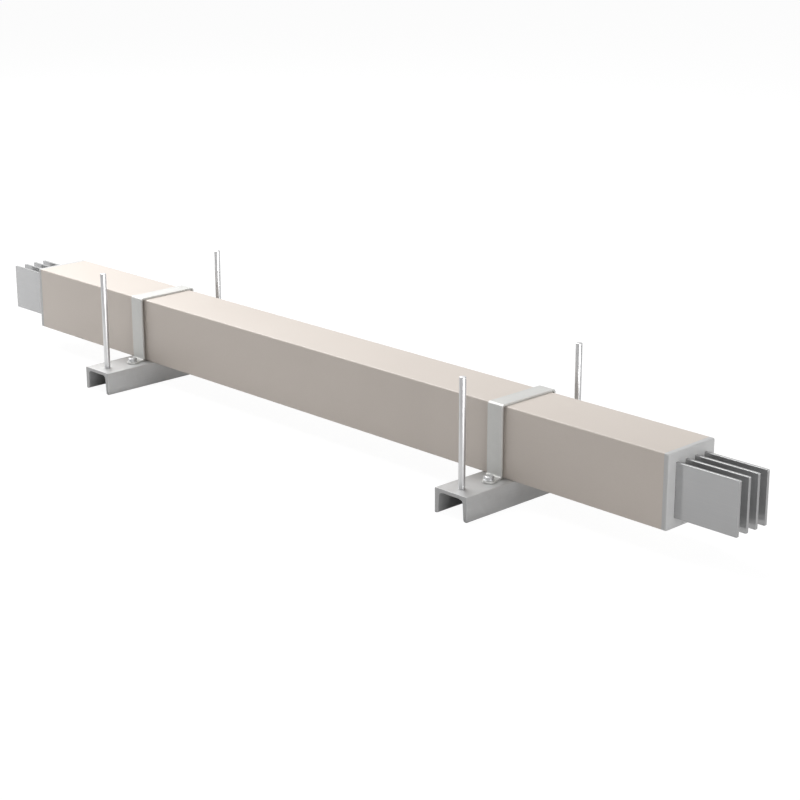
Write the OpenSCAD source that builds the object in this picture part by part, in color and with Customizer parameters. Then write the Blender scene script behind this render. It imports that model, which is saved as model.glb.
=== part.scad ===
// Busway section: four flat busbars in a closed rectangular housing, carried on two
// steel channels with hold-down straps and four drop rods. X runs along the busway,
// Z is up, and the origin is on the floor below the middle of the housing.

/* [Housing] */
// Length of the closed housing, end plates included
housing_len = 1850; // [1400:10:3000]
// Width of the housing
housing_w = 126; // [120:1:180]
// Height of the housing
housing_h = 138; // [125:1:200]
// Sheet thickness of the housing
housing_wall = 1.5; // [1:0.1:2]
// Radius of the housing's long edges
edge_r = 3; // [3:0.5:10]

/* [End plates] */
// Thickness of an end plate outside the housing
plate_t = 10; // [6:0.5:16]
// Radius of an end plate's outer rim
plate_rim_r = 2; // [1:0.5:5]
// Depth of the lip that enters the housing
lip_depth = 12; // [6:1:25]
// Wall of that lip
lip_wall = 5; // [3:0.5:8]
// Gap between the lip and the housing wall
lip_gap = 0.2; // [0.1:0.1:0.5]

/* [Busbars] */
// Height of a busbar
bar_h = 100; // [60:1:105]
// Thickness of a busbar
bar_t = 6; // [4:0.5:10]
// Distance between the centres of neighbouring bars
bar_pitch = 26; // [20:0.5:26]
// Length of bar that stands out of each end plate
bar_out = 130; // [60:5:200]
// Radius of a bar's long edges
bar_edge_r = 1; // [0.5:0.1:1.5]
// Radius of a bar's four corners, seen from the side
bar_corner_r = 2; // [1:0.5:6]
// Gap round a bar in its slot, apart from where the bar rests
slot_gap = 0.2; // [0.1:0.1:0.5]

/* [Support channels] */
// Distance of each support from the middle of the housing
support_x = 536; // [300:1:640]
// Length of a channel
channel_len = 370; // [350:1:500]
// Width over a channel's web
channel_w = 80; // [76:1:100]
// Depth of a channel, from the web's top to the flange tips
channel_h = 48; // [45:1:70]
// Thickness of the web
web_t = 7; // [5:0.5:9]
// Thickness of a flange at its tip
tip_t = 8; // [7:0.5:10]
// Thickness of a flange where it meets the web
root_t = 11; // [10:0.5:13]
// Fillet radius between the web and a flange
root_r = 8; // [5:0.5:10]
// Radius of a flange's inner tip
tip_r = 4; // [2:0.5:5]
// Radius of a channel's outer edges
channel_edge_r = 2; // [1:0.5:4]

/* [Hold-down straps] */
// Width of a strap
strap_w = 36; // [30:1:50]
// Thickness of a strap
strap_t = 4; // [2:0.5:5]
// Gap between a strap and each side of the housing
strap_gap = 5.5; // [0.5:0.5:8]
// Inner radius of the bends over the housing's top
strap_top_r = 2; // [1:0.5:3]
// Inner radius of the bends into the feet
strap_foot_r = 4; // [2:0.5:6]
// Distance of a foot's bolt from the strap's outer face
foot_bolt_out = 24; // [20:1:28]
// Distance of a foot's bolt to the right of the strap's middle
foot_bolt_side = 10; // [0:0.5:10]
// Radius of a foot's round tip, centred on its bolt
foot_tip_r = 13; // [12:0.5:15]

/* [Drop rods] */
// Diameter of a drop rod
rod_d = 12.7; // [11.5:0.1:16]
// Height of a rod above the channel's web
rod_h = 210; // [150:5:400]
// Distance of each rod from the end of its channel
rod_inset = 28.5; // [15:0.5:35]
// Chamfer on a rod's ends
rod_chamfer = 1; // [0.5:0.1:1.5]

/* [Fasteners] */
// Diameter of the bolts and of the rods' turned-down lower ends
bolt_d = 10; // [8:0.5:10]
// Gap round a bolt in its hole
bolt_gap = 0.5; // [0.2:0.1:0.8]
// Width across the flats of heads and nuts
hex_af = 17; // [15:0.5:19]
// Height of a bolt head
head_h = 6.4; // [5:0.1:8]
// How far the bolt heads are turned
head_turn = 15; // [0:1:59]
// Height of a nut
nut_h = 8; // [6:0.5:10]
// Diameter of a washer
washer_d = 20; // [18:0.5:22]
// Thickness of a washer
washer_t = 2; // [1.5:0.1:3]
// Length of thread that stands out below a nut
thread_tail = 4; // [2:0.5:6]

/* [Hidden] */
$fn = 48;

beige = "#c9c0b4";
plate_grey = "#b9b2ac";
bar_silver = "#d2d4d6";
channel_grey = "#a9aaa8";
strap_grey = "#b4b7b1";
zinc = "#c3c6c8";

// A cut runs this far past the faces it opens
past = 1;

// Heights above the floor
web_top = channel_h;
web_under = web_top - web_t;
housing_mid_z = web_top + housing_h / 2;

// The housing between its end plates, and the space inside it
tube_len = housing_len - 2 * plate_t;
inner_w = housing_w - 2 * housing_wall;
inner_h = housing_h - 2 * housing_wall;
inner_r = edge_r - housing_wall;

// Busbars
bar_count = 4;
bar_len = housing_len + 2 * bar_out;

// A strap's inner and outer faces, and where its feet become flat and are bolted
strap_in_y = housing_w / 2 + strap_gap;
strap_out_y = strap_in_y + strap_t;
foot_flat_y = strap_out_y + strap_foot_r;
strap_bolt_y = strap_out_y + foot_bolt_out;
rod_y = channel_len / 2 - rod_inset;
hole_r = bolt_d / 2 + bolt_gap;

// Where the fasteners of a strap and of a rod start and end
washer_top = web_top + strap_t + washer_t;
strap_bolt_end = web_under - nut_h - thread_tail;
rod_end = web_under - washer_t - nut_h - thread_tail;

// Slope of a flange's inner face
flange_run = (root_t - tip_t) / (channel_h - web_t);
flange_angle = atan(flange_run);

// A rectangle with round corners, centred
module round_rect(w, h, r) {
    square([w - 2 * r, h], center = true);
    square([w, h - 2 * r], center = true);
    for (x = [-1, 1], y = [-1, 1])
        translate([x * (w / 2 - r), y * (h / 2 - r)]) circle(r);
}

// Extrudes a shape drawn as (Y, Z) along X, centred
module along_x(len) {
    rotate([90, 0, 90]) linear_extrude(len, center = true) children();
}

// Extrudes a shape drawn as (X, Z) along Y, centred
module along_y(len) {
    rotate([90, 0, 0]) linear_extrude(len, center = true) children();
}

// The housing's closed sheet-metal sleeve
module housing() {
    color(beige)
    translate([0, 0, housing_mid_z])
    along_x(tube_len) difference() {
        round_rect(housing_w, housing_h, edge_r);
        round_rect(inner_w, inner_h, inner_r);
    }
}

// The outer block of an end plate, with its inner face at x = 0 and a rounded outer rim
module plate_block() {
    depth = 2 * plate_t;
    intersection() {
        along_x(depth) round_rect(housing_w, housing_h, edge_r);
        along_y(housing_w) round_rect(depth, housing_h, plate_rim_r);
        linear_extrude(housing_h, center = true) round_rect(depth, housing_w, plate_rim_r);
        translate([depth / 2, 0, 0]) cube([depth, housing_w, housing_h], center = true);
    }
}

// The lip that enters the housing behind an end plate
module plate_lip() {
    lip_w = inner_w - 2 * lip_gap;
    lip_h = inner_h - 2 * lip_gap;
    lip_r = inner_r - lip_gap;
    translate([-lip_depth / 2, 0, 0])
    along_x(lip_depth) difference() {
        round_rect(lip_w, lip_h, lip_r);
        square([lip_w - 2 * lip_wall, lip_h - 2 * lip_wall], center = true);
    }
}

// One slot for each bar. A bar rests on the bottom of its slot.
module plate_slots() {
    for (i = [0 : bar_count - 1])
        translate([0, bar_y(i), slot_gap / 2])
            along_x(2 * plate_t + 2 * past) square([bar_t + 2 * slot_gap, bar_h + slot_gap], center = true);
}

// Moulded end plate with a slot for each busbar. side is -1 left, 1 right.
module end_plate(side) {
    color(plate_grey)
    translate([side * tube_len / 2, 0, housing_mid_z])
    mirror([side < 0 ? 1 : 0, 0, 0])
    difference() {
        union() {
            plate_block();
            plate_lip();
        }
        plate_slots();
    }
}

// Y of busbar i, counted from the front
function bar_y(i) = (i - (bar_count - 1) / 2) * bar_pitch;

// Flat bar that runs right through the housing
module busbar(i) {
    color(bar_silver)
    translate([0, bar_y(i), housing_mid_z])
    intersection() {
        along_y(bar_t) round_rect(bar_len, bar_h, bar_corner_r);
        along_x(bar_len) round_rect(bar_t, bar_h, bar_edge_r);
    }
}

// Half-width of a channel's mouth at height z above the flange tips
function mouth_x(z) = channel_w / 2 - tip_t - flange_run * z;

// The space between the flanges: sloping sides and filleted roots
module channel_mouth() {
    top = channel_h - web_t;
    root_z = top - root_r;
    root_x = mouth_x(root_z) - root_r / cos(flange_angle);
    side_x = root_x + root_r * cos(flange_angle);
    side_z = root_z + root_r * sin(flange_angle);
    polygon([[-mouth_x(-past), -past], [mouth_x(-past), -past], [side_x, side_z],
             [root_x, top], [-root_x, top], [-side_x, side_z]]);
    for (x = [-1, 1])
        translate([x * root_x, root_z]) circle(root_r);
}

// What is cut away to round a flange's inner tip
module tip_cut() {
    tip_x = mouth_x(tip_r) + tip_r / cos(flange_angle);
    difference() {
        polygon([[tip_x, -past], [mouth_x(0) - past, -past],
                 [tip_x - tip_r * cos(flange_angle), tip_r - tip_r * sin(flange_angle)],
                 [tip_x, tip_r]]);
        translate([tip_x, tip_r]) circle(tip_r);
    }
}

// A rolled channel section, web uppermost, drawn as (X, Z) with the flange tips at z = 0
module channel_section() {
    difference() {
        union() {
            translate([0, channel_h / 2]) round_rect(channel_w, channel_h, channel_edge_r);
            translate([0, channel_h / 4]) square([channel_w, channel_h / 2], center = true);
        }
        channel_mouth();
        tip_cut();
        mirror([1, 0]) tip_cut();
    }
}

// A hole through the web at (x, y) from the channel's middle
module channel_hole(x, y) {
    translate([x, y, web_under - past]) cylinder(r = hole_r, h = web_t + 2 * past);
}

// Steel channel below the housing, web up, drilled for its rods and strap bolts
module channel(side) {
    color(channel_grey)
    translate([side * support_x, 0, 0])
    difference() {
        along_y(channel_len) channel_section();
        for (y = [-1, 1]) {
            channel_hole(0, y * rod_y);
            channel_hole(foot_bolt_side, y * strap_bolt_y);
        }
    }
}

// A quarter ring of the strap's thickness, from angle 0 to 90 degrees
module quarter_bend(inner) {
    outer = inner + strap_t;
    intersection() {
        difference() {
            circle(outer);
            circle(inner);
        }
        square(outer + past);
    }
}

// One half of the strap's bent profile, drawn as (Y, Z) above the web, down to where the foot is flat
module half_strap_section() {
    bend_y = strap_in_y - strap_top_r;
    bend_z = housing_h - strap_top_r;
    foot_z = strap_t + strap_foot_r;
    translate([0, housing_h]) square([bend_y, strap_t]);
    translate([bend_y, bend_z]) quarter_bend(strap_top_r);
    translate([strap_in_y, foot_z]) square([strap_t, bend_z - foot_z]);
    translate([foot_flat_y, foot_z]) rotate(180) quarter_bend(strap_foot_r);
}

// Where a line from p touches a circle. turn is 1 for its left side, seen from p, and -1 for its right.
function touch_point(p, centre, r, turn) =
    let (d = centre - p, reach = sqrt(d * d - r * r), a = atan2(d[1], d[0]) + turn * asin(r / norm(d)))
    p + reach * [cos(a), sin(a)];

// The flat of a foot from above: as wide as the strap at its root, and swept to a round tip at its bolt
module foot_outline() {
    bolt = [foot_bolt_side, strap_bolt_y];
    left = [-strap_w / 2, foot_flat_y];
    right = [strap_w / 2, foot_flat_y];
    difference() {
        union() {
            polygon([left, right, touch_point(right, bolt, foot_tip_r, -1), bolt,
                     touch_point(left, bolt, foot_tip_r, 1)]);
            translate(bolt) circle(foot_tip_r);
        }
        translate(bolt) circle(hole_r);
    }
}

// Hold-down strap: over the top, down both sides and out into two bolted feet
module strap(side) {
    color(strap_grey)
    translate([side * support_x, 0, web_top])
    for (face = [0, 1])
        mirror([0, face, 0]) {
            along_x(strap_w) half_strap_section();
            linear_extrude(strap_t) foot_outline();
        }
}

// Plain round drop rod. Its shoulder stands on the web and its turned-down end goes through.
module rod(side, face) {
    color(zinc)
    translate([side * support_x, face * rod_y, 0]) {
        translate([0, 0, web_top]) cylinder(d = rod_d, h = rod_h - rod_chamfer);
        translate([0, 0, web_top + rod_h - rod_chamfer])
            cylinder(d1 = rod_d, d2 = rod_d - 2 * rod_chamfer, h = rod_chamfer);
        translate([0, 0, rod_end + rod_chamfer]) cylinder(d = bolt_d, h = web_top - rod_end - rod_chamfer);
        translate([0, 0, rod_end]) cylinder(d1 = bolt_d - 2 * rod_chamfer, d2 = bolt_d, h = rod_chamfer);
    }
}

// A hexagon prism with both ends' corners chamfered by a 30-degree cone
module hex_block(h, both) {
    corner_d = hex_af / cos(30);
    slope = tan(30);
    rise = (corner_d - hex_af) / 2 * slope;
    flat_d = hex_af * 0.94;
    cone_d = flat_d + 2 * h / slope;
    intersection() {
        cylinder(d = corner_d, h = h, $fn = 6);
        cylinder(d1 = cone_d, d2 = flat_d, h = h);
        if (both) cylinder(d1 = flat_d, d2 = cone_d, h = h);
    }
}

// A hexagon nut from its lower face up
module nut() {
    difference() {
        hex_block(nut_h, true);
        translate([0, 0, -past]) cylinder(d = bolt_d, h = nut_h + 2 * past);
    }
}

// A plain washer from its lower face up
module washer() {
    difference() {
        cylinder(d = washer_d, h = washer_t);
        translate([0, 0, -past]) cylinder(r = hole_r, h = washer_t + 2 * past);
    }
}

module rod_nut(side, face) {
    color(zinc)
    translate([side * support_x, face * rod_y, web_under - washer_t - nut_h]) nut();
}

module rod_washer(side, face) {
    color(zinc)
    translate([side * support_x, face * rod_y, web_under - washer_t]) washer();
}

// Hexagon bolt from above, through the washer, the foot and the web
module strap_bolt(side, face) {
    color(zinc)
    translate([side * support_x + foot_bolt_side, face * strap_bolt_y, 0]) {
        translate([0, 0, washer_top]) rotate(head_turn) hex_block(head_h, false);
        translate([0, 0, strap_bolt_end + rod_chamfer])
            cylinder(d = bolt_d, h = washer_top - strap_bolt_end - rod_chamfer);
        translate([0, 0, strap_bolt_end])
            cylinder(d1 = bolt_d - 2 * rod_chamfer, d2 = bolt_d, h = rod_chamfer);
    }
}

module strap_washer(side, face) {
    color(zinc)
    translate([side * support_x + foot_bolt_side, face * strap_bolt_y, web_top + strap_t]) washer();
}

module strap_nut(side, face) {
    color(zinc)
    translate([side * support_x + foot_bolt_side, face * strap_bolt_y, web_under - nut_h]) nut();
}

housing();
end_plate(-1);  // end_plate_left
end_plate(1);  // end_plate_right
busbar(0);  // busbar_1
busbar(1);  // busbar_2
busbar(2);  // busbar_3
busbar(3);  // busbar_4
channel(-1);  // channel_left
channel(1);  // channel_right
strap(-1);  // strap_left
strap(1);  // strap_right
rod(-1, -1);  // rod_left_front
rod(-1, 1);  // rod_left_back
rod(1, -1);  // rod_right_front
rod(1, 1);  // rod_right_back
rod_nut(-1, -1);  // rod_nut_left_front
rod_nut(-1, 1);  // rod_nut_left_back
rod_nut(1, -1);  // rod_nut_right_front
rod_nut(1, 1);  // rod_nut_right_back
rod_washer(-1, -1);  // rod_washer_left_front
rod_washer(-1, 1);  // rod_washer_left_back
rod_washer(1, -1);  // rod_washer_right_front
rod_washer(1, 1);  // rod_washer_right_back
strap_bolt(-1, -1);  // strap_bolt_left_front
strap_bolt(-1, 1);  // strap_bolt_left_back
strap_bolt(1, -1);  // strap_bolt_right_front
strap_bolt(1, 1);  // strap_bolt_right_back
strap_washer(-1, -1);  // strap_washer_left_front
strap_washer(-1, 1);  // strap_washer_left_back
strap_washer(1, -1);  // strap_washer_right_front
strap_washer(1, 1);  // strap_washer_right_back
strap_nut(-1, -1);  // strap_nut_left_front
strap_nut(-1, 1);  // strap_nut_left_back
strap_nut(1, -1);  // strap_nut_right_front
strap_nut(1, 1);  // strap_nut_right_back
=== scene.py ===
import math
import bmesh
import bpy
from mathutils import Matrix, Vector


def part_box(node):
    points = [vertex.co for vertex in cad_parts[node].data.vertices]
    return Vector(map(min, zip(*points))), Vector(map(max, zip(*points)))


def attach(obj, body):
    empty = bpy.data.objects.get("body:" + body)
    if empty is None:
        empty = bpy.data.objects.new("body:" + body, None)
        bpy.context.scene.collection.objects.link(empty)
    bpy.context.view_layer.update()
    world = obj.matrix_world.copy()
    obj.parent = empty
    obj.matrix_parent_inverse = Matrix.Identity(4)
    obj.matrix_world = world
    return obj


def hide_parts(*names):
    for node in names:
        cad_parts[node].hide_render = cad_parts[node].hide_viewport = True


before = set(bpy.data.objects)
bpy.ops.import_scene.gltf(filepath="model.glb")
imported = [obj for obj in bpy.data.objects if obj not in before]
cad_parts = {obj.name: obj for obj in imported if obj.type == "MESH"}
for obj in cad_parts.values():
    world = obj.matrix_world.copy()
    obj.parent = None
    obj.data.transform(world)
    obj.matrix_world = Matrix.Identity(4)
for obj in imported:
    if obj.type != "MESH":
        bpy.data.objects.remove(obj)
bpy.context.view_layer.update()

scene = bpy.context.scene
mm = 0.001
near = 0.001 * mm  # two places nearer than this count as one
ends = {"left": -1, "right": 1}
faces = ("front", "back")
barNumbers = (1, 2, 3, 4)


# shared ways of building a node tree

def feed(tree, socket, value):
    # value is a plain number or colour, a node's output, or a node that gives its first output
    if isinstance(value, bpy.types.Node):
        value = value.outputs[0]
    if isinstance(value, bpy.types.NodeSocket):
        tree.links.new(value, socket)
    elif socket.type == "RGBA":
        socket.default_value = (*value, 1)
    else:
        socket.default_value = value


def addNode(tree, kind, inputs=None, **settings):
    node = tree.nodes.new(kind)
    for name, value in settings.items():
        setattr(node, name, value)
    for socket, value in (inputs or {}).items():
        feed(tree, node.inputs[socket], value)
    return node


def mathNode(tree, operation, *values):
    return addNode(tree, "ShaderNodeMath", dict(enumerate(values)), operation=operation).outputs[0]


def vectorMath(tree, operation, *values, result="Vector"):
    node = addNode(tree, "ShaderNodeVectorMath", dict(enumerate(values)), operation=operation)
    return node.outputs[result]


def joinXyz(tree, x=0.0, y=0.0, z=0.0):
    return addNode(tree, "ShaderNodeCombineXYZ", {"X": x, "Y": y, "Z": z}).outputs[0]


def mapRange(tree, value, fromRange, toRange=(0, 1)):
    return addNode(tree, "ShaderNodeMapRange", {
        "Value": value, "From Min": fromRange[0], "From Max": fromRange[1],
        "To Min": toRange[0], "To Max": toRange[1]}).outputs[0]


# camera, floor and lights

cameraSet = {
    "lens": 86.741,
    "sensor": 36,
    "azimuth": 45.844,
    "elevation": 17.435,
    "roll": -0.065,
    "place": (2.7929, -2.5021, 1.2363),
    "farthest": 60,
}


def makeCamera(p):
    data = bpy.data.cameras.new("studioCamera")
    camera = bpy.data.objects.new("studioCamera", data)
    scene.collection.objects.link(camera)
    data.sensor_width = p["sensor"]
    data.lens = p["lens"]
    data.clip_end = p["farthest"]
    turn = Matrix.Rotation(math.radians(p["azimuth"]), 4, "Z")
    tilt = Matrix.Rotation(math.radians(90 - p["elevation"]), 4, "X")
    roll = Matrix.Rotation(math.radians(p["roll"]), 4, "Z")
    camera.matrix_world = Matrix.Translation(Vector(p["place"])) @ turn @ tilt @ roll
    scene.camera = camera


studioSet = {
    "floorReach": 30,
    "floorColor": (0.80, 0.80, 0.80),
    "floorSeen": (0.10, 0.10, 0.10),  # what a shadow can take away from the white floor
    "floorGlow": 0.955,
    "skyLight": 0.20,
    "skySeen": 1.0,
}


def makeFloor(p):
    reach = p["floorReach"]
    corners = [(-reach, -reach, 0), (reach, -reach, 0), (reach, reach, 0), (-reach, reach, 0)]
    mesh = bpy.data.meshes.new("floor")
    mesh.from_pydata(corners, [], [(0, 1, 2, 3)])
    floor = bpy.data.objects.new("floor", mesh)
    scene.collection.objects.link(floor)

    paper = bpy.data.materials.new("floorPaper")
    paper.use_nodes = True
    tree = paper.node_tree
    tree.nodes.clear()
    rays = addNode(tree, "ShaderNodeLightPath").outputs
    matt = addNode(tree, "ShaderNodeBsdfDiffuse", {"Color": p["floorColor"]})
    shade = addNode(tree, "ShaderNodeBsdfDiffuse", {"Color": p["floorSeen"]})
    glow = addNode(tree, "ShaderNodeEmission", {"Strength": p["floorGlow"]})
    seen = addNode(tree, "ShaderNodeAddShader", {0: shade, 1: glow})
    pick = addNode(tree, "ShaderNodeMixShader", {0: rays["Is Camera Ray"], 1: matt, 2: seen})
    addNode(tree, "ShaderNodeOutputMaterial", {"Surface": pick})
    mesh.materials.append(paper)


def makeSky(p):
    world = bpy.data.worlds.new("studioWorld")
    scene.world = world
    world.use_nodes = True
    tree = world.node_tree
    tree.nodes.clear()
    rays = addNode(tree, "ShaderNodeLightPath").outputs
    seen = mathNode(tree, "MAXIMUM", rays["Is Camera Ray"], rays["Is Glossy Ray"])
    fill = addNode(tree, "ShaderNodeBackground", {"Strength": p["skyLight"]})
    pale = addNode(tree, "ShaderNodeBackground", {"Strength": p["skySeen"]})
    pick = addNode(tree, "ShaderNodeMixShader", {0: seen, 1: fill, 2: pale})
    addNode(tree, "ShaderNodeOutputWorld", {"Surface": pick})


lampSets = {
    "keyLamp": {"place": (-2.2, 0.3, 3.4), "target": (0, 0, 0.1), "size": (3.0, 4.4), "power": 236.0},
    "rightLamp": {"place": (4.2, -0.9, 0.62), "target": (0.4, 0, 0.1), "size": (2.2, 1.1), "power": 56.0},
    "backLamp": {"place": (4.0, 2.6, 1.8), "target": (0.5, 0, 0.1), "size": (2.5, 2.0), "power": 30.0},
}


def makeLamp(name, p):
    data = bpy.data.lights.new(name, "AREA")
    data.shape = "RECTANGLE"
    data.size, data.size_y = p["size"]
    data.energy = p["power"]
    lamp = bpy.data.objects.new(name, data)
    scene.collection.objects.link(lamp)
    lamp.location = p["place"]
    aim = Vector(p["target"]) - Vector(p["place"])
    lamp.rotation_euler = aim.to_track_quat("-Z", "Y").to_euler()


makeCamera(cameraSet)
makeFloor(studioSet)
makeSky(studioSet)
for name, lampSet in lampSets.items():
    makeLamp(name, lampSet)
print("studio ready")


# finishes

effectSet = {
    "noiseRange": (0.3, 0.7),  # the part of a noise's range that is used
    "grainRoughness": 0.6,
    "grainColors": ((0.25, 0.25, 0.25), (0.75, 0.75, 0.75)),
    "wearWidth": 1.2 * mm,
    "wearSamples": 4,
    "wearRange": (0.99, 0.86),  # how far a rounded edge's direction parts from the flat one's
    "wearDetail": 4.0,
    "patchRange": (0.42, 0.62),
    "mottleDetail": 3.0,
    "spanglesPerPatch": 14,
    "cutRange": (0.9, 0.98),  # how squarely a face looks along the cut's axis
    "sawDistortion": 1.5,
    "sawDetail": 3.0,
    "sawRoughness": 0.15,
}


def newShaderGroup(name, inputs, outputs):
    group = bpy.data.node_groups.new(name, "ShaderNodeTree")
    for way, sockets in (("INPUT", inputs), ("OUTPUT", outputs)):
        for label, kind in sockets.items():
            group.interface.new_socket(label, in_out=way, socket_type="NodeSocket" + kind)
    return group, addNode(group, "NodeGroupInput").outputs


def makeGrainGroup(p):
    # noise stretched along the way a surface was rolled, drawn or sprayed
    group, given = newShaderGroup("surfaceGrain", {"Stretch": "Vector", "Detail": "Float"},
                                  {"Value": "Float"})
    where = addNode(group, "ShaderNodeTexCoord").outputs["Object"]
    noise = addNode(group, "ShaderNodeTexNoise", {
        "Vector": vectorMath(group, "MULTIPLY", where, given["Stretch"]), "Scale": 1.0,
        "Detail": given["Detail"], "Roughness": p["grainRoughness"]})
    addNode(group, "NodeGroupOutput", {"Value": noise})
    return group


def makeWearGroup(p):
    # bright where an edge is rubbed, broken up by noise so that it isn't an even line
    group, given = newShaderGroup("edgeWear", {"Breakup": "Float", "Amount": "Float"}, {"Mask": "Float"})
    flat = addNode(group, "ShaderNodeNewGeometry").outputs["Normal"]
    rounded = addNode(group, "ShaderNodeBevel", {"Radius": p["wearWidth"]}, samples=p["wearSamples"])
    edge = mapRange(group, vectorMath(group, "DOT_PRODUCT", rounded, flat, result="Value"), p["wearRange"])
    where = addNode(group, "ShaderNodeTexCoord").outputs["Object"]
    noise = addNode(group, "ShaderNodeTexNoise", {
        "Vector": where, "Scale": given["Breakup"], "Detail": p["wearDetail"]})
    both = mathNode(group, "MULTIPLY", edge, mapRange(group, noise, p["patchRange"]))
    addNode(group, "NodeGroupOutput", {"Mask": mathNode(group, "MULTIPLY", both, given["Amount"])})
    return group


def makeMottleGroup(p):
    # slow changes of shade, with spangle cells where the metal was dipped in zinc
    group, given = newShaderGroup("mottle", {"Scale": "Float", "Spangle": "Float"}, {"Value": "Float"})
    where = addNode(group, "ShaderNodeTexCoord").outputs["Object"]
    noise = addNode(group, "ShaderNodeTexNoise", {
        "Vector": where, "Scale": given["Scale"], "Detail": p["mottleDetail"]})
    cells = addNode(group, "ShaderNodeTexVoronoi", {
        "Vector": where, "Scale": mathNode(group, "MULTIPLY", given["Scale"], p["spanglesPerPatch"])})
    spangle = addNode(group, "ShaderNodeSeparateColor", {0: cells.outputs["Color"]})
    mix = addNode(group, "ShaderNodeMix", {
        "Factor": given["Spangle"], "A": noise, "B": spangle}, data_type="FLOAT")
    addNode(group, "NodeGroupOutput", {"Value": mix})
    return group


def makeSawGroup(p):
    # fine ridges on the faces that were cut across, found from the surface's own direction
    group, given = newShaderGroup("sawMarks", {"Cut Axis": "Vector", "Scale": "Float"},
                                  {"Mask": "Float", "Height": "Float"})
    where = addNode(group, "ShaderNodeTexCoord").outputs
    facing = vectorMath(group, "DOT_PRODUCT", where["Normal"], given["Cut Axis"], result="Value")
    cut = mapRange(group, mathNode(group, "ABSOLUTE", facing), p["cutRange"])
    marks = addNode(group, "ShaderNodeTexWave", {
        "Vector": where["Object"], "Scale": given["Scale"], "Distortion": p["sawDistortion"],
        "Detail": p["sawDetail"]}, wave_type="BANDS", bands_direction="Z")
    height = mathNode(group, "MULTIPLY", marks.outputs["Fac"], cut)
    addNode(group, "NodeGroupOutput", {"Mask": cut, "Height": height})
    return group


grainGroup = makeGrainGroup(effectSet)
wearGroup = makeWearGroup(effectSet)
mottleGroup = makeMottleGroup(effectSet)
sawGroup = makeSawGroup(effectSet)


def blendColor(tree, factor, a, b, mode="MIX"):
    # sockets 6 and 7 are the node's two colours, and 2 the colour that it gives
    node = addNode(tree, "ShaderNodeMix", {0: factor, 6: a, 7: b}, data_type="RGBA", blend_type=mode)
    return node.outputs[2]


def makeFinish(name, p, effects):
    mat = bpy.data.materials.new(name)
    mat.use_nodes = True
    tree = mat.node_tree
    shader = tree.nodes["Principled BSDF"].inputs
    shader["Metallic"].default_value = p["metallic"]
    shader["Specular IOR Level"].default_value = p.get("specular", 0.5)

    mottle = addNode(tree, "ShaderNodeGroup", {
        "Scale": p["mottleScale"], "Spangle": p.get("spangle", 0.0)}, node_tree=mottleGroup)
    grain = addNode(tree, "ShaderNodeGroup", {
        "Stretch": p["grain"], "Detail": p.get("grainDetail", 4.0)}, node_tree=grainGroup)
    color = blendColor(tree, mapRange(tree, mottle, effects["noiseRange"]), p["darker"], p["lighter"])
    streaks = blendColor(tree, mapRange(tree, grain, effects["noiseRange"]), *effects["grainColors"])
    color = blendColor(tree, p["grainShade"], color, streaks, "OVERLAY")
    rough = mapRange(tree, grain, effects["noiseRange"], p["roughness"])
    height = grain.outputs["Value"]
    if "cutAxis" in p:
        saw = addNode(tree, "ShaderNodeGroup", {
            "Cut Axis": p["cutAxis"], "Scale": p["sawScale"]}, node_tree=sawGroup).outputs
        # cut faces take cutColor; on the busbars this darkening is partly the bare cut and partly painted
        # shade on the bar ends
        color = blendColor(tree, saw["Mask"], color, p["cutColor"])
        added = mathNode(tree, "MULTIPLY", saw["Mask"], effects["sawRoughness"])
        rough = mathNode(tree, "ADD", rough, added)
        height = mathNode(tree, "ADD", height, saw["Height"])
    wear = addNode(tree, "ShaderNodeGroup", {
        "Breakup": p["wearBreakup"], "Amount": p["wear"]}, node_tree=wearGroup)
    color = blendColor(tree, wear.outputs["Mask"], color, p["wearColor"])
    bump = addNode(tree, "ShaderNodeBump", {
        "Strength": p["bump"], "Distance": p["bumpDepth"], "Height": height})
    feed(tree, shader["Normal"], bump)
    feed(tree, shader["Base Color"], color)
    feed(tree, shader["Roughness"], rough)
    return mat


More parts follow.
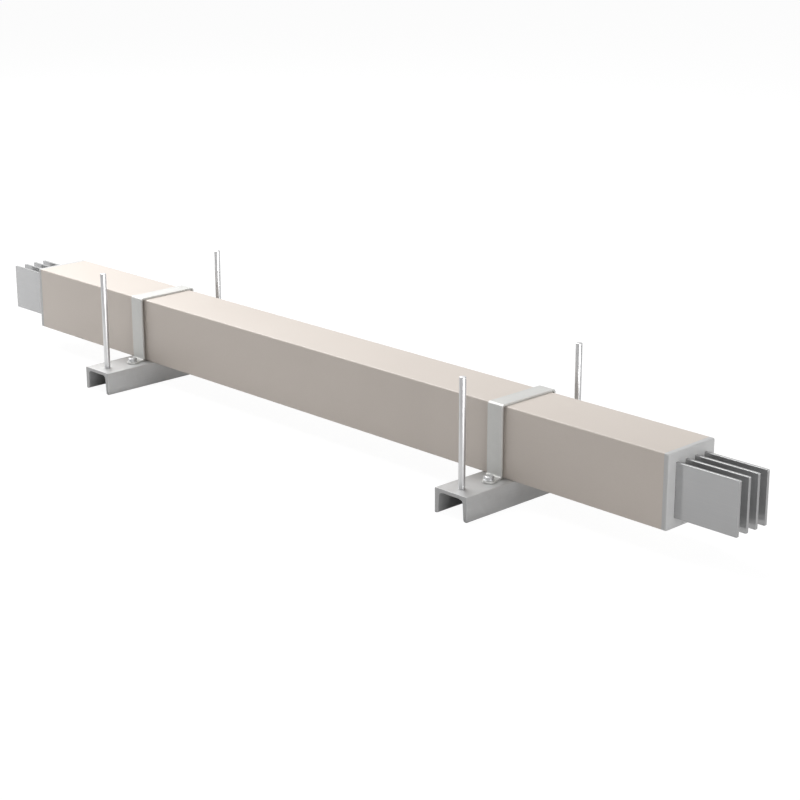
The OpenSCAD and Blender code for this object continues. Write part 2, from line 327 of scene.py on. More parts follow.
finishSets = {
    "housing_paint": ("beigePowderCoat", {
        "metallic": 0.0, "darker": (0.602, 0.541, 0.488), "lighter": (0.634, 0.572, 0.517),
        "mottleScale": 3.0, "grain": (420, 420, 420), "grainDetail": 2.0, "grainShade": 0.03,
        "roughness": (0.36, 0.46), "bump": 0.25, "bumpDepth": 0.05 * mm,
        "wear": 0.25, "wearBreakup": 30.0, "wearColor": (0.70, 0.65, 0.60)}),
    "end_plate": ("greyMoulding", {
        "metallic": 0.0, "darker": (0.515, 0.515, 0.513), "lighter": (0.540, 0.540, 0.538),
        "mottleScale": 9.0, "grain": (900, 900, 900), "grainDetail": 3.0, "grainShade": 0.06,
        "roughness": (0.38, 0.50), "bump": 0.3, "bumpDepth": 0.05 * mm,
        "wear": 0.35, "wearBreakup": 60.0, "wearColor": (0.72, 0.72, 0.71)}),
    "busbar": ("tinnedBar", {
        "metallic": 0.55, "darker": (0.465, 0.467, 0.469), "lighter": (0.500, 0.502, 0.505),
        "mottleScale": 7.0, "grain": (6, 900, 700), "grainShade": 0.05,
        "roughness": (0.12, 0.19), "bump": 0.08, "bumpDepth": 0.02 * mm,
        # the busbars' sheared ends are darker partly for the bare cut metal and partly as painted shade, so
        # they look less lit
        "cutAxis": (1, 0, 0), "sawScale": 260.0, "cutColor": (0.36, 0.36, 0.36),
        "wear": 0.4, "wearBreakup": 80.0, "wearColor": (0.80, 0.80, 0.80)}),
    "channel_steel": ("galvanisedChannel", {
        "metallic": 0.55, "darker": (0.50, 0.502, 0.502), "lighter": (0.535, 0.537, 0.537),
        "mottleScale": 6.0, "spangle": 0.25, "grain": (500, 8, 500), "grainShade": 0.08,
        "roughness": (0.38, 0.52), "bump": 0.25, "bumpDepth": 0.06 * mm,
        "cutAxis": (0, 1, 0), "sawScale": 220.0, "cutColor": (0.42, 0.42, 0.42),
        "wear": 0.5, "wearBreakup": 55.0, "wearColor": (0.68, 0.68, 0.67)}),
    "strap_steel": ("galvanisedStrap", {
        "metallic": 0.42, "specular": 0.3,
        "darker": (0.560, 0.560, 0.543), "lighter": (0.590, 0.590, 0.573),
        "mottleScale": 9.0, "spangle": 0.2, "grain": (900, 14, 14), "grainShade": 0.08,
        "roughness": (0.38, 0.48), "bump": 0.2, "bumpDepth": 0.04 * mm,
        "wear": 0.5, "wearBreakup": 70.0, "wearColor": (0.74, 0.74, 0.73)}),
    "rod_steel": ("brightRod", {
        "metallic": 1.0, "darker": (0.58, 0.58, 0.585), "lighter": (0.66, 0.66, 0.665),
        "mottleScale": 12.0, "grain": (1300, 1300, 16), "grainShade": 0.14,
        "roughness": (0.28, 0.34), "bump": 0.04, "bumpDepth": 0.03 * mm,
        "cutAxis": (0, 0, 1), "sawScale": 300.0, "cutColor": (0.55, 0.55, 0.55),
        "wear": 0.3, "wearBreakup": 90.0, "wearColor": (0.75, 0.75, 0.75)}),
    "fastener_zinc": ("zincPlate", {
        "metallic": 0.7, "darker": (0.56, 0.565, 0.57), "lighter": (0.64, 0.645, 0.65),
        "mottleScale": 60.0, "grain": (700, 700, 700), "grainShade": 0.10,
        "roughness": (0.28, 0.40), "bump": 0.15, "bumpDepth": 0.03 * mm,
        "wear": 0.5, "wearBreakup": 160.0, "wearColor": (0.78, 0.78, 0.78)}),
}
finishes = {slot: makeFinish(name, p, effectSet) for slot, (name, p) in finishSets.items()}
print("finishes ready")


# shared ways of making a piece

def middleOf(node):
    low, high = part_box(node)
    return (low + high) / 2


def addPiece(name, mesh):
    piece = bpy.data.objects.new(name, mesh)
    scene.collection.objects.link(piece)
    return piece


def bridge(bm, first, second):
    # faces between two closed loops of points
    for k in range(len(first)):
        n = (k + 1) % len(first)
        bm.faces.new((first[k], first[n], second[n], second[k]))


def meshFrom(name, bm):
    bmesh.ops.remove_doubles(bm, verts=bm.verts, dist=near / 2)
    bmesh.ops.recalc_face_normals(bm, faces=bm.faces)
    mesh = bpy.data.meshes.new(name)
    bm.to_mesh(mesh)
    bm.free()
    return mesh


def prism(name, outline, yLow, yHigh):
    # an outline in x and z, drawn out along y
    bm = bmesh.new()
    loops = [[bm.verts.new((x, y, z)) for x, z in outline] for y in (yLow, yHigh)]
    bm.faces.new(loops[0])
    bm.faces.new(loops[1][::-1])
    bridge(bm, *loops)
    return meshFrom(name, bm)


def arc(centre, radius, start, stop, steps):
    turns = [math.radians(start + (stop - start) * i / steps) for i in range(steps + 1)]
    return [(centre[0] + radius * math.cos(a), centre[1] + radius * math.sin(a)) for a in turns]


def smoothBelow(mesh, degrees):
    mesh.shade_smooth()
    mesh.set_sharp_from_angle(angle=math.radians(degrees))


def bevelEdges(piece, rounding, degrees):
    edges = piece.modifiers.new("edges", "BEVEL")
    edges.width, edges.segments = rounding
    edges.limit_method = "ANGLE"
    edges.angle_limit = math.radians(degrees)
    edges.harden_normals = True


def settle(piece):
    # the evaluated shape becomes a plain mesh, with no modifier left
    graph = bpy.context.evaluated_depsgraph_get()
    mesh = bpy.data.meshes.new_from_object(piece.evaluated_get(graph))
    mesh.name = piece.name
    piece.modifiers.clear()
    piece.data = mesh


def handOver(piece, slotName, *nodes):
    piece.data.materials.clear()
    piece.data.materials.append(finishes[slotName])
    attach(piece, "root")
    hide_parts(*nodes)


def newTree(name, sockets):
    # besides its own sizes, each tree is given a geometry and a finish
    tree = bpy.data.node_groups.new(name, "GeometryNodeTree")
    for label, kind in {"Geometry": "Geometry", **sockets, "Finish": "Material"}.items():
        tree.interface.new_socket(label, in_out="INPUT", socket_type="NodeSocket" + kind)
    tree.interface.new_socket("Geometry", in_out="OUTPUT", socket_type="NodeSocketGeometry")
    return tree, addNode(tree, "NodeGroupInput").outputs


def endTree(tree, geometry, finish):
    solid = addNode(tree, "GeometryNodeRealizeInstances", {"Geometry": geometry})
    paint = addNode(tree, "GeometryNodeSetMaterial", {"Geometry": solid, "Material": finish})
    addNode(tree, "NodeGroupOutput", {"Geometry": paint})
    return tree


def useTree(piece, tree, values):
    step = piece.modifiers.new(tree.name, "NODES")
    step.node_group = tree
    for item in tree.interface.items_tree:
        if item.item_type == "SOCKET" and item.in_out == "INPUT" and item.name in values:
            step[item.identifier] = values[item.name]


# housing: a closed sleeve of sheet metal

housingSet = {
    "wall": 1.5 * mm,
    "edgeRadius": 3 * mm,
    "edgeSteps": 8,
    "endRound": (0.3 * mm, 2),  # in every set, a rounding is its width and its number of steps
    "roundAbove": 40,
    "smoothBelow": 35,
}


def makeSleeveTree():
    tree, given = newTree("sleeveTree", {
        "Length": "Float", "Width": "Float", "Height": "Float", "Edge Radius": "Float", "Edge Steps": "Int",
        "Middle Height": "Float"})
    loop = addNode(tree, "GeometryNodeCurvePrimitiveQuadrilateral", {
        "Width": given["Height"], "Height": given["Width"]})
    fillet = addNode(tree, "GeometryNodeFilletCurve", {
        "Curve": loop, "Radius": given["Edge Radius"], "Count": given["Edge Steps"]}, mode="POLY")
    section = addNode(tree, "GeometryNodeCurveToMesh", {"Curve": fillet})
    leftEnd = mathNode(tree, "MULTIPLY", given["Length"], -0.5)
    stand = addNode(tree, "GeometryNodeTransform", {
        "Geometry": section, "Rotation": (0, math.radians(-90), 0),
        "Translation": joinXyz(tree, x=leftEnd, z=given["Middle Height"])})
    pull = addNode(tree, "GeometryNodeExtrudeMesh", {
        "Mesh": stand, "Offset": joinXyz(tree, x=given["Length"])}, mode="EDGES")
    return endTree(tree, pull, given["Finish"])


def makeHousing(p):
    low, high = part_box("housing")
    sleeve = addPiece("housingSleeve", bpy.data.meshes.new("housingSleeve"))
    useTree(sleeve, makeSleeveTree(), {
        "Length": high.x - low.x, "Width": high.y - low.y, "Height": high.z - low.z,
        "Edge Radius": p["edgeRadius"], "Edge Steps": p["edgeSteps"],
        "Middle Height": (low.z + high.z) / 2, "Finish": finishes["housing_paint"]})
    settle(sleeve)
    # the sheet's doubles are merged and its faces turned outwards before it gets its wall
    bm = bmesh.new()
    bm.from_mesh(sleeve.data)
    sleeve.data = meshFrom("housingSleeve", bm)
    smoothBelow(sleeve.data, p["smoothBelow"])
    wall = sleeve.modifiers.new("wall", "SOLIDIFY")
    wall.thickness = p["wall"]
    wall.offset = -1
    bevelEdges(sleeve, p["endRound"], p["roundAbove"])
    settle(sleeve)
    handOver(sleeve, "housing_paint", "housing")


makeHousing(housingSet)
print("housing ready")


# end plates: slotted mouldings with a lip inside the housing

plateSet = {
    "thickness": 10 * mm,
    "rimRound": (2 * mm, 5),
    "backRound": (0.3 * mm, 2),
    "slotLead": (0.7 * mm, 3),
    "roundAbove": 60,
    "slotGap": 0.2 * mm,
    "lipWall": 5 * mm,
    "lipSunk": 1 * mm,
    "smoothBelow": 35,
}


def plateLines(low, high, gap):
    # the lines across and up the plate that bound its slots, with its own edges first and last
    bars = [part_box("busbar_%d" % number) for number in barNumbers]
    yLines = [low.y]
    for barLow, barHigh in bars:
        yLines += [barLow.y - gap, barHigh.y + gap]
    yLines.append(high.y)
    return yLines, [low.z, bars[0][0].z, bars[0][1].z + gap, high.z]


def addSlab(bm, outer, inner, yLines, zLines):
    front, back = [[[bm.verts.new((x, y, z)) for z in zLines] for y in yLines] for x in (outer, inner)]
    last = len(yLines) - 1
    for grid in (front, back):
        for i in range(last):
            for j in range(3):
                isSlot = j == 1 and i % 2 == 1
                if not isSlot:
                    bm.faces.new((grid[i][j], grid[i + 1][j], grid[i + 1][j + 1], grid[i][j + 1]))
    rim = [(i, 0) for i in range(last)] + [(last, j) for j in range(3)]
    rim += [(i, 3) for i in range(last, 0, -1)] + [(0, j) for j in (3, 2, 1)]
    slots = [[(i, 1), (i + 1, 1), (i + 1, 2), (i, 2)] for i in range(1, last, 2)]
    for path in [rim] + slots:
        bridge(bm, [front[i][j] for i, j in path], [back[i][j] for i, j in path])
    bmesh.ops.recalc_face_normals(bm, faces=bm.faces)


def roundPlate(bm, low, high, outer, inner, p):
    cornerRadius = housingSet["edgeRadius"]
    sharp = math.radians(p["roundAbove"])

    def insets(co):
        return min(co.y - low.y, high.y - co.y), min(co.z - low.z, high.z - co.z)

    def roundOff(width, steps, test):
        edges = [e for e in bm.edges if len(e.link_faces) == 2 and e.calc_face_angle(0) > sharp
                 and all(test(v.co) for v in e.verts)]
        bmesh.ops.bevel(bm, geom=edges, offset=width, segments=steps, profile=0.5, affect="EDGES")

    roundOff(cornerRadius, housingSet["edgeSteps"], lambda co: max(insets(co)) < near)
    roundOff(*p["rimRound"], lambda co: abs(co.x - outer) < near and min(insets(co)) < cornerRadius)
    roundOff(*p["slotLead"], lambda co: abs(co.x - outer) < near)
    roundOff(*p["backRound"], lambda co: abs(co.x - inner) < near and min(insets(co)) < cornerRadius)


def addLip(bm, low, high, start, stop, p):
    # the lip is a ring of its own, sunk a little into the plate's back
    clear = housingSet["wall"] + p["slotGap"]
    rings = []
    for x in (start, stop):
        for inset in (clear, clear + p["lipWall"]):
            corners = ((low.y + inset, low.z + inset), (high.y - inset, low.z + inset),
                       (high.y - inset, high.z - inset), (low.y + inset, high.z - inset))
            rings.append([bm.verts.new((x, y, z)) for y, z in corners])
    for first, second in ((0, 1), (1, 3), (3, 2), (2, 0)):
        bridge(bm, rings[first], rings[second])


def makePlate(end, side, p):
    # made for the right end, and mirrored for the left
    node = "end_plate_" + end
    low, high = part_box(node)
    lipEnd, outer = sorted((side * low.x, side * high.x))
    inner = outer - p["thickness"]
    bm = bmesh.new()
    addSlab(bm, outer, inner, *plateLines(low, high, p["slotGap"]))
    roundPlate(bm, low, high, outer, inner, p)
    addLip(bm, low, high, inner + p["lipSunk"], lipEnd, p)
    bmesh.ops.transform(bm, matrix=Matrix.Diagonal((side, 1, 1, 1)), verts=bm.verts)
    name = "endPlate" + end.capitalize()
    plate = addPiece(name, meshFrom(name, bm))
    smoothBelow(plate.data, p["smoothBelow"])
    handOver(plate, "end_plate", node)


for end, side in ends.items():
    makePlate(end, side, plateSet)
print("end plates ready")


# busbars: flat bars, sheared to length, with rounded edges

barSet = {
    "edgeRound": (1 * mm, 4),
    "roundAbove": 40,
    "cornerRadius": 2 * mm,
    "cornerSteps": 4,
    "smoothBelow": 35,
}


def makeBar(number, p):
    node = "busbar_%d" % number
    low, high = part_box(node)
    r = p["cornerRadius"]
    outline = []
    for x, z, start in ((high.x - r, high.z - r, 0), (low.x + r, high.z - r, 90),
                        (low.x + r, low.z + r, 180), (high.x - r, low.z + r, 270)):
        outline += arc((x, z), r, start, start + 90, p["cornerSteps"])
    bar = addPiece("busbar%d" % number, prism(node, outline, low.y, high.y))
    smoothBelow(bar.data, p["smoothBelow"])
    bevelEdges(bar, p["edgeRound"], p["roundAbove"])
    settle(bar)
    handOver(bar, "busbar", node)


for number in barNumbers:
    makeBar(number, barSet)
print("busbars ready")


# channels: rolled sections, web uppermost, sawn to length and drilled

channelSet = {
    "web": 7 * mm,
    "tip": 8 * mm,
    "root": 11 * mm,
    "rootRadius": 8 * mm,
    "tipRadius": 4 * mm,
    "edgeRadius": 2 * mm,
    "curveSteps": 8,
    "edgeSteps": 5,
    "sawnRound": (0.5 * mm, 2),
    "roundAbove": 50,
    "holeRadius": 5.5 * mm,
    "holeSteps": 32,
    "smoothBelow": 35,
}


def channelSection(half, tall, p):
    # x is measured from the middle of the web, and z from the flanges' tips
    run = (p["root"] - p["tip"]) / (tall - p["web"])
    slope = math.atan(run)
    lean = math.degrees(slope)

    def mouth(z):
        return half - p["tip"] - run * z

    edge, tip, root = p["edgeRadius"], p["tipRadius"], p["rootRadius"]
    rootZ = tall - p["web"] - root
    tipX = mouth(tip) + tip / math.cos(slope)
    rootX = mouth(rootZ) - root / math.cos(slope)
    rightHalf = [(0, tall)]
    rightHalf += arc((half - edge, tall - edge), edge, 90, 0, p["edgeSteps"])
    rightHalf.append((half, 0))
    rightHalf += arc((tipX, tip), tip, 270, 180 + lean, p["curveSteps"])
    rightHalf += arc((rootX, rootZ), root, lean, 90, p["curveSteps"])
    rightHalf.append((0, tall - p["web"]))
    return rightHalf + [(-x, z) for x, z in rightHalf[-2:0:-1]]


def makeDrill(end, webMiddle, p):
    bm = bmesh.new()
    for kind in ("rod", "strap_bolt"):
        for face in faces:
            spot = middleOf("%s_%s_%s" % (kind, end, face))
            spot.z = webMiddle
            bmesh.ops.create_cone(bm, cap_ends=True, segments=p["holeSteps"], radius1=p["holeRadius"],
                                  radius2=p["holeRadius"], depth=3 * p["web"],
                                  matrix=Matrix.Translation(spot))
    return addPiece("drill", meshFrom("drill", bm))


def makeChannel(end, p):
    node = "channel_" + end
    low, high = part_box(node)
    centre = middleOf(node).x
    section = channelSection(high.x - centre, high.z - low.z, p)
    outline = [(centre + x, low.z + z) for x, z in section]
    channel = addPiece("channel" + end.capitalize(), prism(node, outline, low.y, high.y))
    drill = makeDrill(end, high.z - p["web"] / 2, p)
    cut = channel.modifiers.new("holes", "BOOLEAN")
    cut.operation = "DIFFERENCE"
    cut.solver = "EXACT"
    cut.object = drill
    settle(channel)
    bpy.data.objects.remove(drill)
    smoothBelow(channel.data, p["smoothBelow"])
    bevelEdges(channel, p["sawnRound"], p["roundAbove"])
    settle(channel)
    handOver(channel, "channel_steel", node)


for end in ends:
    makeChannel(end, channelSet)
print("channels ready")


# hold-down straps: cut flat, punched, then folded over the housing by Geometry Nodes

strapSet = {
    "thickness": 4 * mm,
    "gap": 5.5 * mm,
    "topRadius": 2 * mm,
    "footRadius": 4 * mm,
    "tipRadius": 13 * mm,
    "holeRadius": 5.5 * mm,
    "columns": 6,
    "bendRows": 8,
    "topRows": 2,
    "sideRows": 4,
    "footSteps": 3,
    "tipSteps": 24,
    "bendSteps": 24,
    "lineSpare": 10 * mm,  # how far the folding line runs on beyond a foot
    "edgeRound": (0.6 * mm, 2),
    "roundAbove": 50,
    "smoothBelow": 40,
}


def makeFoldTree(p):
    tree, given = newTree("foldTree", {
        "Thickness": "Float", "Half Width": "Float", "Height": "Float", "Top Radius": "Float",
        "Foot Radius": "Float", "Foot Reach": "Float", "Base": "Vector"})
    halfThick = mathNode(tree, "MULTIPLY", given["Thickness"], 0.5)
    back = mathNode(tree, "ADD", given["Half Width"], halfThick)
    front = mathNode(tree, "MULTIPLY", back, -1)
    top = mathNode(tree, "ADD", given["Height"], halfThick)
    frontTip = mathNode(tree, "MULTIPLY", given["Foot Reach"], -1)
    corners = [joinXyz(tree, y=y, z=z) for y, z in (
        (frontTip, halfThick), (front, halfThick), (front, top),
        (back, top), (back, halfThick), (given["Foot Reach"], halfThick))]
    line = addNode(tree, "GeometryNodeMeshLine", {"Count": len(corners)})
    index = addNode(tree, "GeometryNodeInputIndex")
    choose = addNode(tree, "GeometryNodeIndexSwitch", data_type="VECTOR")
    while len(choose.index_switch_items) < len(corners):
        choose.index_switch_items.new()
    feed(tree, choose.inputs["Index"], index)
    for k, corner in enumerate(corners):
        feed(tree, choose.inputs[k + 1], corner)
    shape = addNode(tree, "GeometryNodeSetPosition", {"Geometry": line, "Position": choose})
    curve = addNode(tree, "GeometryNodeMeshToCurve", {0: shape})

    # the two middle corners bend over the top, and the outer two into the feet
    middle = (len(corners) - 1) / 2
    overTop = mathNode(tree, "COMPARE", index, middle, 0.6)
    radius = addNode(tree, "ShaderNodeMix", {
        "Factor": overTop, "A": mathNode(tree, "ADD", given["Foot Radius"], halfThick),
        "B": mathNode(tree, "ADD", given["Top Radius"], halfThick)}, data_type="FLOAT")
    bent = addNode(tree, "GeometryNodeFilletCurve", {
        "Curve": curve, "Radius": radius, "Count": p["bendSteps"]}, mode="POLY")

    # the blank's Y is the distance along that line from its middle, and its Z the depth through the metal
    length = addNode(tree, "GeometryNodeCurveLength", {0: bent})
    flat = addNode(tree, "ShaderNodeSeparateXYZ", {0: addNode(tree, "GeometryNodeInputPosition")}).outputs
    along = mathNode(tree, "ADD", flat["Y"], mathNode(tree, "MULTIPLY", length, 0.5))
    sample = addNode(tree, "GeometryNodeSampleCurve", {
        "Curves": bent, "Length": along}, mode="LENGTH").outputs
    across = vectorMath(tree, "CROSS_PRODUCT", (1, 0, 0), sample["Tangent"])
    raised = addNode(tree, "ShaderNodeVectorMath", {0: across, "Scale": flat["Z"]}, operation="SCALE")
    onLine = vectorMath(tree, "ADD", sample["Position"], raised)
    sideways = vectorMath(tree, "ADD", onLine, joinXyz(tree, x=flat["X"]))
    fold = addNode(tree, "GeometryNodeSetPosition", {
        "Geometry": given["Geometry"], "Position": vectorMath(tree, "ADD", sideways, given["Base"])})
    return endTree(tree, fold, given["Finish"])


def spread(start, stop, steps):
    return [start + (stop - start) * i / steps for i in range(1, steps + 1)]


def blankRows(p, halfWidth, height):
    # distances along the middle of the metal from the strap's middle to where a foot is flat
    thick = p["thickness"]
    topStart = halfWidth - p["topRadius"]
    topStop = topStart + math.pi / 2 * (p["topRadius"] + thick / 2)
    footStart = topStop + height - p["topRadius"] - thick - p["footRadius"]
    footStop = footStart + math.pi / 2 * (p["footRadius"] + thick / 2)
    return ([0] + spread(0, topStart, p["topRows"]) + spread(topStart, topStop, p["bendRows"])
            + spread(topStop, footStart, p["sideRows"]) + spread(footStart, footStop, p["bendRows"]))


def between(first, last, steps):
    return [tuple(a + (b - a) * k / steps for a, b in zip(first, last)) for k in range(1, steps)]


def footPoints(bolt, halfStrap, root, p):
    # the foot's outline as seen flat, from the root's right end round the tip to its left end
    touches, turns = [], []
    for x, way in ((halfStrap, -1), (-halfStrap, 1)):
        apartX, apartY = bolt[0] - x, bolt[1] - root
        apart = math.hypot(apartX, apartY)
        aim = math.atan2(apartY, apartX) + way * math.asin(p["tipRadius"] / apart)
        reach = math.sqrt(apart ** 2 - p["tipRadius"] ** 2)
        touch = (x + reach * math.cos(aim), root + reach * math.sin(aim))
        touches.append(touch)
        turns.append(math.degrees(math.atan2(touch[1] - bolt[1], touch[0] - bolt[0])))
    start, stop = turns
    if stop < start:
        stop += 360
    rightLine = between((halfStrap, root), touches[0], p["footSteps"])
    leftLine = between(touches[1], (-halfStrap, root), p["footSteps"])
    return rightLine + arc(bolt, p["tipRadius"], start, stop, p["tipSteps"]) + leftLine


def makeBlank(name, halfStrap, boltX, boltY, halfWidth, height, p):
    rows = blankRows(p, halfWidth, height)
    root = rows[-1]
    flatY = halfWidth + p["thickness"] + p["footRadius"]
    bolt = (boltX, root + boltY - flatY)
    columns = [-halfStrap + 2 * halfStrap * k / p["columns"] for k in range(p["columns"] + 1)]
    lines = [-row for row in rows[:0:-1]] + rows
    z = -p["thickness"] / 2
    bm = bmesh.new()
    grid = [[bm.verts.new((x, y, z)) for x in columns] for y in lines]
    for lower, upper in zip(grid, grid[1:]):
        for i in range(p["columns"]):
            bm.faces.new((lower[i], lower[i + 1], upper[i + 1], upper[i]))
    for way, rootRow in ((1, grid[-1]), (-1, grid[0])):
        foot = [bm.verts.new((x, way * y, z)) for x, y in footPoints(bolt, halfStrap, root, p)]
        centre = Vector((bolt[0], way * bolt[1], z))
        outline = rootRow + foot
        hole = [bm.verts.new(centre + (v.co - centre).normalized() * p["holeRadius"]) for v in outline]
        bridge(bm, outline, hole)
    made = bmesh.ops.extrude_face_region(bm, geom=bm.faces[:])
    upper = [v for v in made["geom"] if isinstance(v, bmesh.types.BMVert)]
    bmesh.ops.translate(bm, vec=(0, 0, p["thickness"]), verts=upper)
    return meshFrom(name, bm)


def makeStrap(end, p):
    node = "strap_" + end
    low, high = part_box(node)
    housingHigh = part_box("housing")[1]
    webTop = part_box("channel_" + end)[1].z
    centre = middleOf("channel_" + end).x
    bolt = middleOf("strap_bolt_%s_back" % end)
    halfWidth = housingHigh.y + p["gap"]
    height = housingHigh.z - webTop
    name = "strap" + end.capitalize()
    strap = addPiece(name, makeBlank(name, centre - low.x, bolt.x - centre, bolt.y, halfWidth, height, p))
    smoothBelow(strap.data, p["smoothBelow"])
    useTree(strap, foldTree, {
        "Thickness": p["thickness"], "Half Width": halfWidth, "Height": height,
        "Top Radius": p["topRadius"], "Foot Radius": p["footRadius"], "Foot Reach": high.y + p["lineSpare"],
        "Base": (centre, 0, webTop), "Finish": finishes["strap_steel"]})
    bevelEdges(strap, p["edgeRound"], p["roundAbove"])
    settle(strap)
    handOver(strap, "strap_steel", node)


foldTree = makeFoldTree(strapSet)
for end in ends:
    makeStrap(end, strapSet)
print("straps ready")


# threads: a ridge that winds round the lower end of a rod or bolt

threadSet = {
    "pitch": 1.5 * mm,
    "depth": 0.75 * mm,
    "stepsPerTurn": 32,
    "ridgeSides": 3,
    "tipChamfer": 0.6 * mm,
    "runOut": 1 * mm,
    "startAbove": 0.8 * mm,
    "shorter": 2.4 * mm,  # how much less than the threaded stretch the ridge takes up
}


def makeThreadTree(p):
    tree, given = newTree("threadTree", {
        "Outer Radius": "Float", "Depth": "Float", "Pitch": "Float", "Start": "Vector", "Length": "Float",
        "Steps": "Int"})
    inner = mathNode(tree, "SUBTRACT", given["Outer Radius"], given["Depth"])
    ridge = addNode(tree, "GeometryNodeCurveSpiral", {
        "Resolution": given["Steps"], "Rotations": mathNode(tree, "DIVIDE", given["Length"], given["Pitch"]),
        "Start Radius": inner, "End Radius": inner, "Height": given["Length"]})
    section = addNode(tree, "GeometryNodeCurvePrimitiveCircle", {
        "Resolution": p["ridgeSides"], "Radius": given["Depth"]}, mode="RADIUS")
    wind = addNode(tree, "GeometryNodeCurveToMesh", {
        "Curve": ridge, "Profile Curve": section, "Fill Caps": True})
    move = addNode(tree, "GeometryNodeTransform", {"Geometry": wind, "Translation": given["Start"]})
    both = addNode(tree, "GeometryNodeJoinGeometry", {"Geometry": move})
    feed(tree, both.inputs["Geometry"], given["Geometry"])
    return endTree(tree, both, given["Finish"])


def threadedEnd(radius, bottom, run, p):
    # the profile of a threaded stretch, from its top down to the tip
    core = radius - p["depth"]
    return [(radius, bottom + run), (core, bottom + run - p["runOut"]), (core, bottom + p["tipChamfer"]),
            (core - p["tipChamfer"], bottom), (0, bottom)]


def addThread(piece, radius, foot, run, slotName, p):
    useTree(piece, threadTree, {
        "Outer Radius": radius, "Depth": p["depth"], "Pitch": p["pitch"],
        "Start": (foot[0], foot[1], foot[2] + p["startAbove"]), "Length": run - p["shorter"],
        "Steps": p["stepsPerTurn"], "Finish": finishes[slotName]})


def turned(name, profile, place, steps):
    # profile is (radius, z), where a radius of 0 is a point on the axis
    turns = [2 * math.pi * k / steps for k in range(steps)]
    bm = bmesh.new()
    rings = []
    for radius, z in profile:
        around = turns if radius else turns[:1]
        rings.append([bm.verts.new((place[0] + radius * math.cos(a), place[1] + radius * math.sin(a), z))
                      for a in around])
    for above, below in zip(rings, rings[1:]):
        for k in range(steps):
            n = (k + 1) % steps
            corners = (above[k % len(above)], above[n % len(above)],
                       below[n % len(below)], below[k % len(below)])
            bm.faces.new(list(dict.fromkeys(corners)))
    return meshFrom(name, bm)


threadTree = makeThreadTree(threadSet)

rodSet = {
    "radius": 6.35 * mm,
    "shankRadius": 5 * mm,
    "chamfer": 1 * mm,
    "chamferSoft": 0.25 * mm,
    "softShare": 0.4,
    "shoulderEdge": 0.3 * mm,
    "threadRun": 22 * mm,
    "steps": 64,
    "smoothBelow": 32,
}


def rodTop(radius, top, p):
    # a chamfer whose two edges are softened
    chamfer, soft = p["chamfer"], p["chamferSoft"]
    share = p["softShare"] * soft
    return [(0, top), (radius - chamfer - soft, top), (radius - chamfer, top - share),
            (radius - share, top - chamfer), (radius, top - chamfer - soft)]


def makeRod(end, face, p):
    node = "rod_%s_%s" % (end, face)
    low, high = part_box(node)
    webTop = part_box("channel_" + end)[1].z
    centre = middleOf(node)
    foot = (centre.x, centre.y, low.z)
    shoulder = p["shoulderEdge"]
    profile = rodTop(p["radius"], high.z, p)
    profile += [(p["radius"], webTop + shoulder), (p["radius"] - shoulder, webTop)]
    profile.append((p["shankRadius"], webTop))
    profile += threadedEnd(p["shankRadius"], low.z, p["threadRun"], threadSet)
    name = "rod" + end.capitalize() + face.capitalize()
    rod = addPiece(name, turned(name, profile, foot, p["steps"]))
    smoothBelow(rod.data, p["smoothBelow"])
    addThread(rod, p["shankRadius"], foot, p["threadRun"], "rod_steel", threadSet)
    settle(rod)
    handOver(rod, "rod_steel", node)


for end in ends:
    for face in faces:
        makeRod(end, face, rodSet)
print("rods ready")


# fasteners: one of each kind is made, then Geometry Nodes set it at every place

fastenerSet = {
    "acrossFlats": 17 * mm,
    "flatShare": 0.94,  # width of the flat top, as a share of the width across flats
    "chamferSlope": 30,
    "hexSteps": 48,
    "hexSmoothBelow": 25,
    "headTurn": 15,
    "boltRadius": 5 * mm,
    "boltSteps": 32,
    "boltThread": 24 * mm,
    "shankSunk": 1 * mm,
    "boreChamfer": 0.8 * mm,
    "washerGap": 0.5 * mm,
    "washerEdge": 0.3 * mm,
    "washerSteps": 48,
    "washerSmoothBelow": 60,
}


def hexBlock(bm, top, bottom, bothEnds, bore, p):
    # a hexagon with its corners turned off by a cone, and a bore if there is one
    halfFlats = p["acrossFlats"] / 2
    flat = halfFlats * p["flatShare"]
    fall = math.tan(math.radians(p["chamferSlope"]))
    side = math.pi / 3
    turns = [2 * math.pi * k / p["hexSteps"] for k in range(p["hexSteps"])]

    def circle(radius, z):
        return [bm.verts.new((radius * math.cos(a), radius * math.sin(a), z)) for a in turns]

    def hexagon(z, slope):
        ring = []
        for a in turns:
            radius = halfFlats / math.cos((a + side / 2) % side - side / 2)
            height = z + slope * (radius - flat)
            ring.append(bm.verts.new((radius * math.cos(a), radius * math.sin(a), height)))
        return ring

    rings = [circle(flat, top), hexagon(top, -fall)]
    if bothEnds:
        rings += [hexagon(bottom, fall), circle(flat, bottom)]
    else:
        rings.append(hexagon(bottom, 0))
    if bore:
        lead = p["boreChamfer"]
        rings += [circle(bore + lead, bottom), circle(bore, bottom + lead),
                  circle(bore, top - lead), circle(bore + lead, top), rings[0]]
    for above, below in zip(rings, rings[1:]):
        bridge(bm, above, below)
    if not bore:
        bm.faces.new(rings[0])
        bm.faces.new(rings[-1])


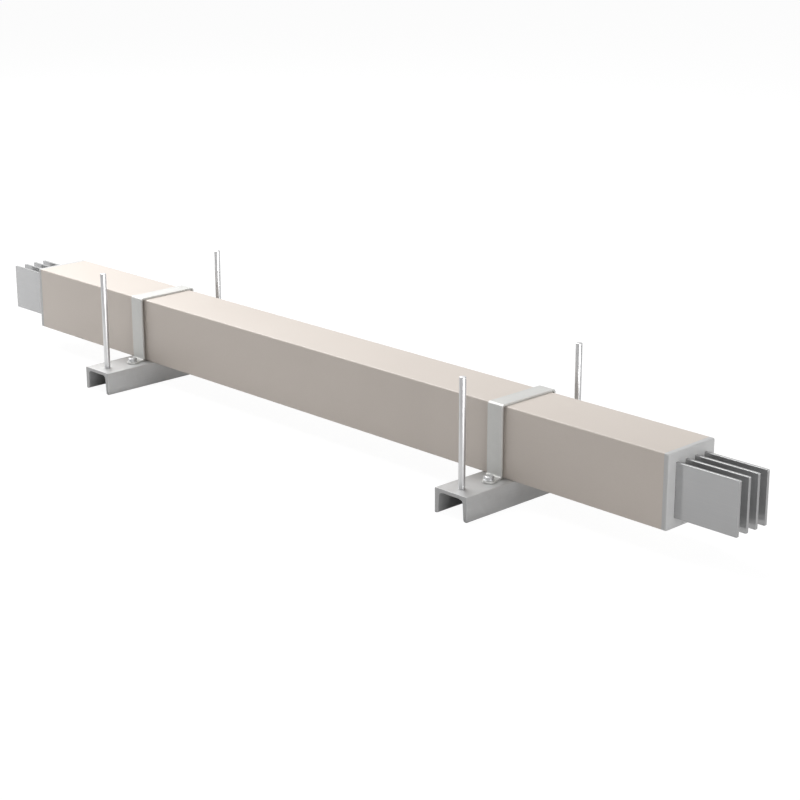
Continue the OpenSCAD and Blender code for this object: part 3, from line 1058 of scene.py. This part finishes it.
def makeBoltPattern(p):
    low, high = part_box("strap_bolt_right_front")
    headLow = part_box("strap_washer_right_front")[1].z - low.z
    shankTop = headLow + p["shankSunk"]
    profile = [(0, shankTop), (p["boltRadius"], shankTop)]
    profile += threadedEnd(p["boltRadius"], 0, p["boltThread"], threadSet)
    shank = turned("boltShank", profile, (0, 0), p["boltSteps"])
    bm = bmesh.new()
    hexBlock(bm, high.z - low.z, headLow, False, 0, p)
    bmesh.ops.rotate(bm, verts=bm.verts, matrix=Matrix.Rotation(math.radians(p["headTurn"]), 3, "Z"))
    bm.from_mesh(shank)
    bolt = addPiece("boltPattern", meshFrom("boltPattern", bm))
    smoothBelow(bolt.data, p["hexSmoothBelow"])
    addThread(bolt, p["boltRadius"], (0, 0, 0), p["boltThread"], "fastener_zinc", threadSet)
    settle(bolt)
    return bolt


def makeNutPattern(node, p):
    low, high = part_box(node)
    bm = bmesh.new()
    hexBlock(bm, high.z - low.z, 0, True, p["boltRadius"], p)
    nut = addPiece("nutPattern", meshFrom("nutPattern", bm))
    smoothBelow(nut.data, p["hexSmoothBelow"])
    return nut


def makeWasherPattern(node, p):
    low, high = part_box(node)
    outer, thick = (high.x - low.x) / 2, high.z - low.z
    bore, e = p["boltRadius"] + p["washerGap"], p["washerEdge"]
    profile = [(bore, thick - e), (bore + e, thick), (outer - e, thick), (outer, thick - e), (outer, e),
               (outer - e, 0), (bore + e, 0), (bore, e), (bore, thick - e)]
    washer = addPiece("washerPattern", turned("washerPattern", profile, (0, 0), p["washerSteps"]))
    smoothBelow(washer.data, p["washerSmoothBelow"])
    return washer


def makePlaceTree():
    tree, given = newTree("placeTree", {"Fastener": "Object"})
    source = addNode(tree, "GeometryNodeObjectInfo", {
        "Object": given["Fastener"]}, transform_space="ORIGINAL")
    copies = addNode(tree, "GeometryNodeInstanceOnPoints", {
        "Points": given["Geometry"], "Instance": source.outputs["Geometry"]})
    return endTree(tree, copies, given["Finish"])


placeTree = makePlaceTree()


def placeAll(name, kind, pattern):
    nodes = ["%s_%s_%s" % (kind, end, face) for end in ends for face in faces]
    spots = [(*middleOf(node).xy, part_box(node)[0].z) for node in nodes]
    mesh = bpy.data.meshes.new(name)
    mesh.from_pydata(spots, [], [])
    piece = addPiece(name, mesh)
    useTree(piece, placeTree, {"Fastener": pattern, "Finish": finishes["fastener_zinc"]})
    settle(piece)
    bpy.data.objects.remove(pattern)
    handOver(piece, "fastener_zinc", *nodes)


placeAll("strapBolts", "strap_bolt", makeBoltPattern(fastenerSet))
placeAll("strapWashers", "strap_washer", makeWasherPattern("strap_washer_right_front", fastenerSet))
placeAll("strapNuts", "strap_nut", makeNutPattern("strap_nut_right_front", fastenerSet))
placeAll("rodWashers", "rod_washer", makeWasherPattern("rod_washer_right_front", fastenerSet))
placeAll("rodNuts", "rod_nut", makeNutPattern("rod_nut_right_front", fastenerSet))
print("fasteners ready")

scene.view_settings.view_transform = "Standard"
